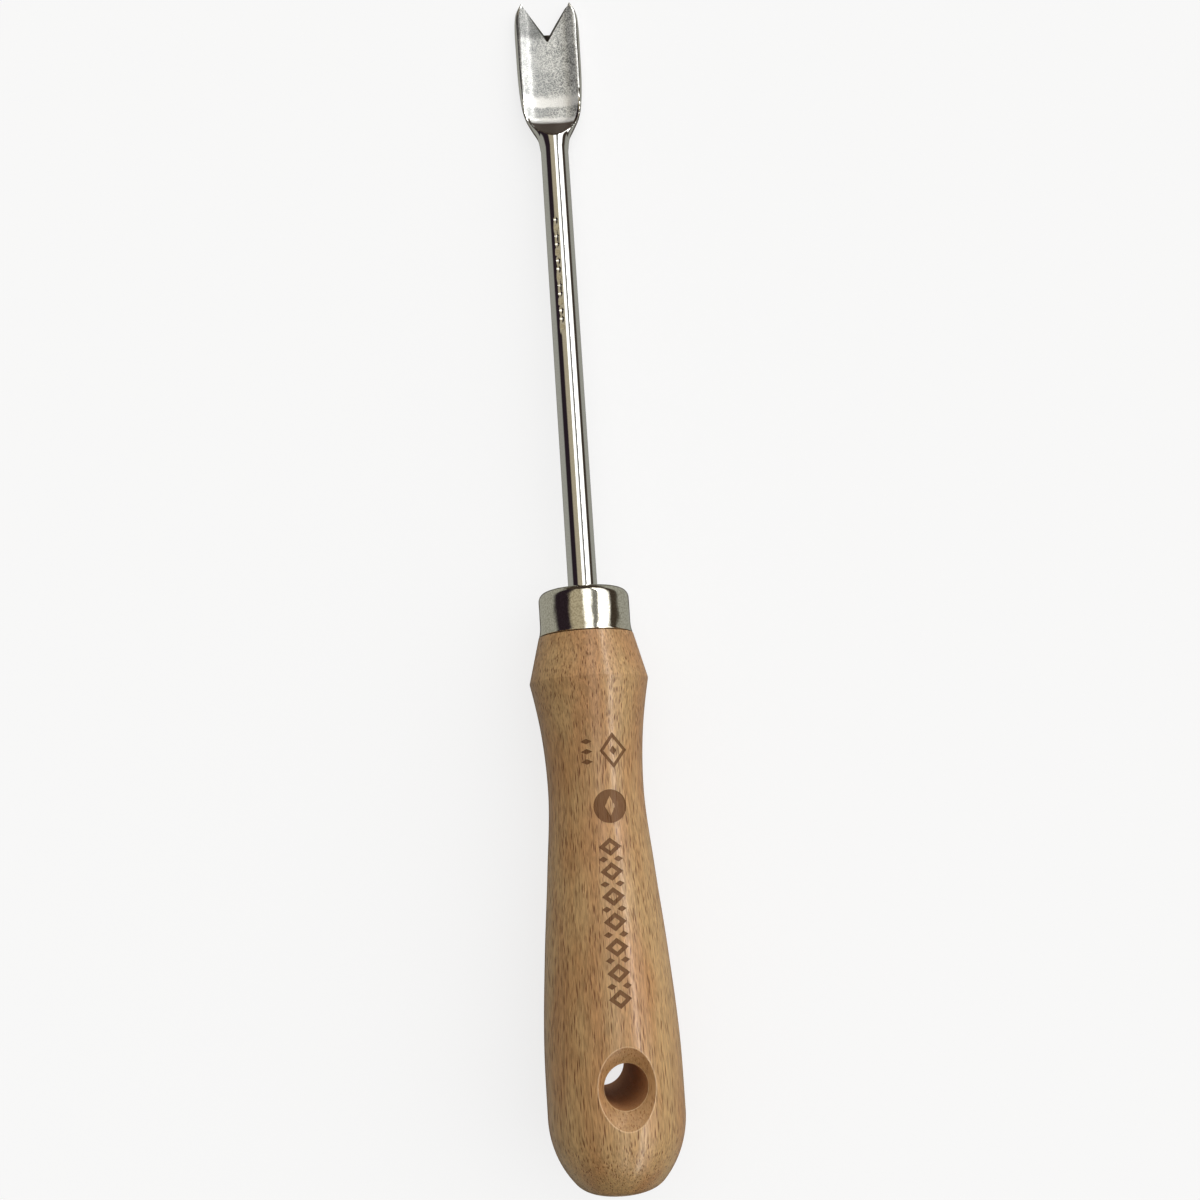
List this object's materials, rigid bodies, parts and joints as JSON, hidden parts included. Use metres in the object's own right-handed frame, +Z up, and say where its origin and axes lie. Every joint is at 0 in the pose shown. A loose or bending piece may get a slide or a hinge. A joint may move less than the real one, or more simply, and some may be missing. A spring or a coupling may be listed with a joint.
{
  "type": "hand weeder",
  "caption": "Hand weeder: a forked, dished steel blade on a round shank, set in a turned wooden handle with a steel ferrule and a countersunk hang hole.",
  "frame": {"origin": "under the middle of the tool's length, on the flat surface that it lies on, dished face up", "axes": "+Y along the tool towards the fork, +Z up out of the surface, +X across the blade; the tool's own axis dips 3.5 degrees towards the fork, because it rests on the handle's collar and the prongs"},
  "size_m": [0.0352, 0.3324, 0.0402],
  "materials": {
    "polished_steel": "mirror polished, with a finely dimpled satin dish",
    "ferrule_steel": "pressed and polished, slightly wavy",
    "beech": "steamed beech, turned, sanded and satin lacquered, with short dark flecks along the grain",
    "cured_resin": "cured, translucent amber, hidden in the bore"
  },
  "bodies": {
    "root": {"fork": "polished_steel", "ferrule": "ferrule_steel", "handle": "beech", "tang_adhesive": "cured_resin"}
  },
  "joints": []
}
